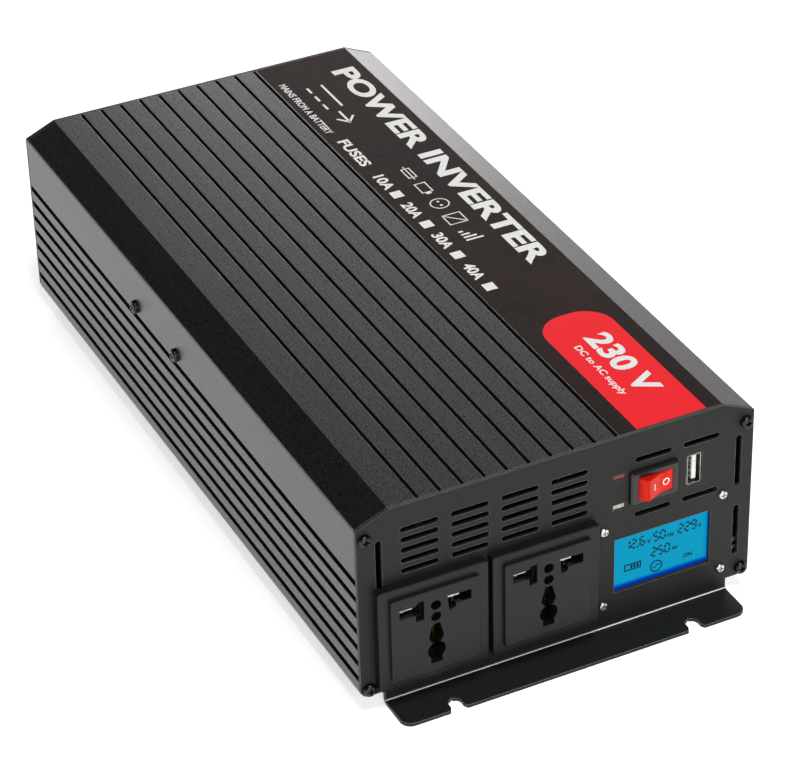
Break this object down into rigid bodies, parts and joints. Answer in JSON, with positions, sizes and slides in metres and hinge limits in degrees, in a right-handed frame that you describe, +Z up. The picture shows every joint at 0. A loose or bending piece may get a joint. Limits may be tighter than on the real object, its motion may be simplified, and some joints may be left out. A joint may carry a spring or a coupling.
{
  "type": "power inverter",
  "caption": "Box-shaped power inverter in a ribbed aluminium case with sockets, a USB outlet, a rocker switch and a display in front, and fans and battery terminals behind.",
  "frame": {"origin": "centre of the overall bounding box, on the surface that the foot flanges stand on", "axes": "+Z up; -Y out of the front panel with the sockets; +X to the right of a person who faces the front panel"},
  "size_m": [0.174, 0.378, 0.0897],
  "materials": {
    "case_extrusion": "black sand-textured anodised aluminium",
    "panel_sheet": "fine-textured charcoal powder coat",
    "label_film": "satin printed film",
    "black_steel": "black oxide",
    "bright_steel": "bright zinc",
    "socket_plastic": "fine spark-eroded black plastic",
    "shutter_plastic": "light grey plastic",
    "contact_brass": "spring brass",
    "spring_steel": "spring steel",
    "switch_black": "black plastic",
    "switch_red": "red translucent plastic",
    "white_plastic": "white plastic",
    "red_lens": "red diffused lens",
    "pale_lens": "clear diffused lens",
    "display_glass": "blue backlit display",
    "green_board": "green circuit board",
    "copper": "bare copper",
    "ferrite": "grey ferrite",
    "winding_tape": "yellow polyester tape",
    "wire_red": "red wire insulation",
    "positive_red": "red moulded plastic",
    "negative_black": "black moulded plastic",
    "terminal_brass": "turned brass",
    "spreader_aluminium": "sawn and milled",
    "component_epoxy": "black epoxy",
    "capacitor_sleeve": "dark shrink sleeve",
    "fuse_plastic": "orange translucent plastic",
    "insulation_film": "polyester sheet"
  },
  "bodies": {
    "case": {"upper_shell": "case_extrusion", "lower_shell": "case_extrusion", "front_panel": "panel_sheet", "rear_panel": "panel_sheet", "top_label": "label_film", "case_screws": "black_steel", "side_screws": "black_steel", "left_socket_face": "socket_plastic", "right_socket_face": "socket_plastic", "socket_backs": "socket_plastic", "left_shutter_springs": "spring_steel", "right_shutter_springs": "spring_steel", "socket_contacts": "contact_brass", "socket_wires": "wire_red", "switch_housing": "switch_black", "switch_terminals": "contact_brass", "usb_shell": "bright_steel", "usb_tongue": "white_plastic", "usb_contacts": "contact_brass", "control_board": "green_board", "power_lamp": "pale_lens", "fault_lamp": "red_lens", "lamp_leads": "bright_steel", "lcd_glass": "display_glass", "lcd_frame": "switch_black", "lcd_backlight": "white_plastic", "lcd_board": "green_board", "lcd_spacers": "terminal_brass", "lcd_screws": "bright_steel", "lcd_nuts": "bright_steel", "left_fan_frame": "component_epoxy", "right_fan_frame": "component_epoxy", "fan_guards": "bright_steel", "fan_screws": "black_steel", "terminal_studs": "terminal_brass", "positive_insulator": "positive_red", "negative_insulator": "negative_black", "terminal_nuts_and_washers": "terminal_brass", "bus_bars": "copper", "earth_screw": "bright_steel", "earth_nuts": "bright_steel", "main_board": "green_board", "insulation_sheet": "insulation_film", "heat_spreaders": "spreader_aluminium", "transistors": "component_epoxy", "transistor_leads": "bright_steel", "clamp_bars": "bright_steel", "ferrite_cores": "ferrite", "windings": "winding_tape", "driver_board": "green_board", "driver_parts": "component_epoxy", "blade_fuses": "fuse_plastic", "board_capacitors": "capacitor_sleeve"},
    "left_shutter": {"left_socket_shutter": "shutter_plastic"},
    "right_shutter": {"right_socket_shutter": "shutter_plastic"},
    "rocker": {"rocker_button": "switch_red"},
    "left_rotor": {"left_fan_rotor": "component_epoxy"},
    "right_rotor": {"right_fan_rotor": "component_epoxy"},
    "positive_terminal_knob": {"positive_knob": "positive_red"},
    "negative_terminal_knob": {"negative_knob": "negative_black"}
  },
  "joints": [
    {"name": "left_shutter_slide", "type": "slide", "parent": "case", "child": "left_shutter", "axis": [0, 0, 1], "range_m": [0, 0.004], "stiffness_N_per_m": 60, "springref_m": -0.003, "deforming": ["left_shutter_springs"]},
    {"name": "right_shutter_slide", "type": "slide", "parent": "case", "child": "right_shutter", "axis": [0, 0, 1], "range_m": [0, 0.004], "stiffness_N_per_m": 60, "springref_m": -0.003, "deforming": ["right_shutter_springs"]},
    {"name": "rocker_pivot", "type": "hinge", "parent": "case", "child": "rocker", "pos_m": [0.0407, -0.17, 0.0646], "axis": [0, 0, -1], "range_deg": [0, 30.6]},
    {"name": "left_fan_spin", "type": "hinge", "parent": "case", "child": "left_rotor", "pos_m": [-0.0305, 0.15, 0.0482], "axis": [0, 1, 0], "continuous": true},
    {"name": "right_fan_spin", "type": "hinge", "parent": "case", "child": "right_rotor", "pos_m": [0.0305, 0.15, 0.0482], "axis": [0, 1, 0], "continuous": true},
    {"name": "positive_knob_turn", "type": "hinge", "parent": "case", "child": "positive_terminal_knob", "pos_m": [-0.07, 0.175, 0.0422], "axis": [0, 1, 0], "continuous": true},
    {"name": "negative_knob_turn", "type": "hinge", "parent": "case", "child": "negative_terminal_knob", "pos_m": [0.07, 0.175, 0.0422], "axis": [0, 1, 0], "continuous": true}
  ]
}
